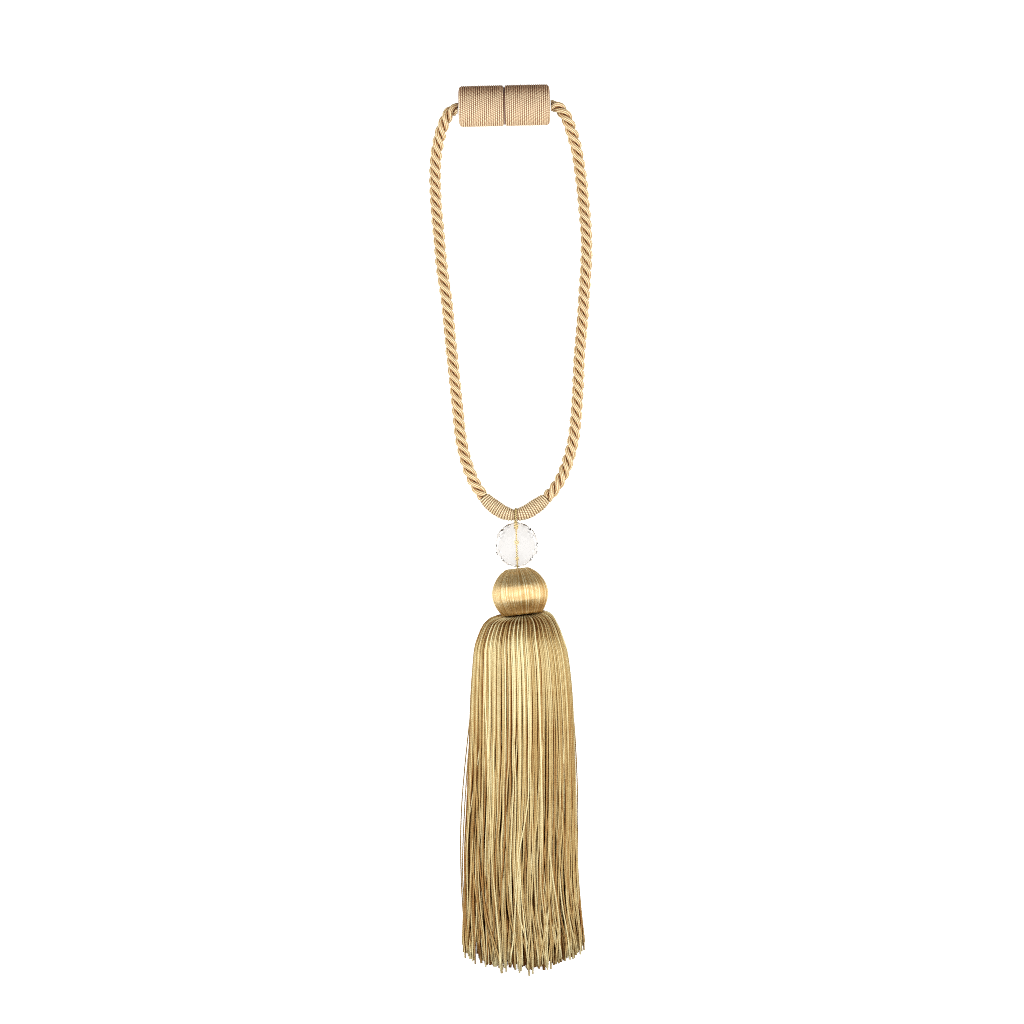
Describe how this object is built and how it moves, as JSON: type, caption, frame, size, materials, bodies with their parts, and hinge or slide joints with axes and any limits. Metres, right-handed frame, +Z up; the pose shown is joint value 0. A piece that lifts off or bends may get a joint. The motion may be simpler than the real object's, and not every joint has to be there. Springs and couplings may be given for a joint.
{
  "type": "curtain tieback tassel",
  "caption": "Curtain tieback: a loop of twisted rope with a magnet clasp, and a tassel on it with a clear faceted bead, a thread-wound ball and a long yarn skirt.",
  "frame": {"origin": "on the surface the tieback lies on, under the middle of the object without its ropes", "axes": "+Z up from the surface, +Y from the skirt's tips to the clasp, +X to the right seen from above with the clasp at the top"},
  "size_m": [0.0887, 0.4791, 0.03],
  "materials": {
    "clasp_yarn": "matt twisted yarn, wound in close turns, pinkish beige",
    "rope_yarn": "satin twisted yarn, cream to gold",
    "binding_thread": "fine thread, wound in close turns, pale beige gold",
    "hanger_cord": "thin twisted gold cord",
    "bead_glass": "clear, faceted and polished",
    "ball_thread": "satin thread, wound from end to end over the ball, amber gold",
    "skirt_yarn": "twisted satin yarn, gold with cream highlights"
  },
  "bodies": {
    "root": {"clasp_left": "clasp_yarn", "clasp_right": "clasp_yarn", "rope_left": "rope_yarn", "rope_right": "rope_yarn", "binding": "binding_thread", "hanger_cord": "hanger_cord", "bead": "bead_glass", "ball": "ball_thread", "skirt": "skirt_yarn"}
  },
  "joints": []
}
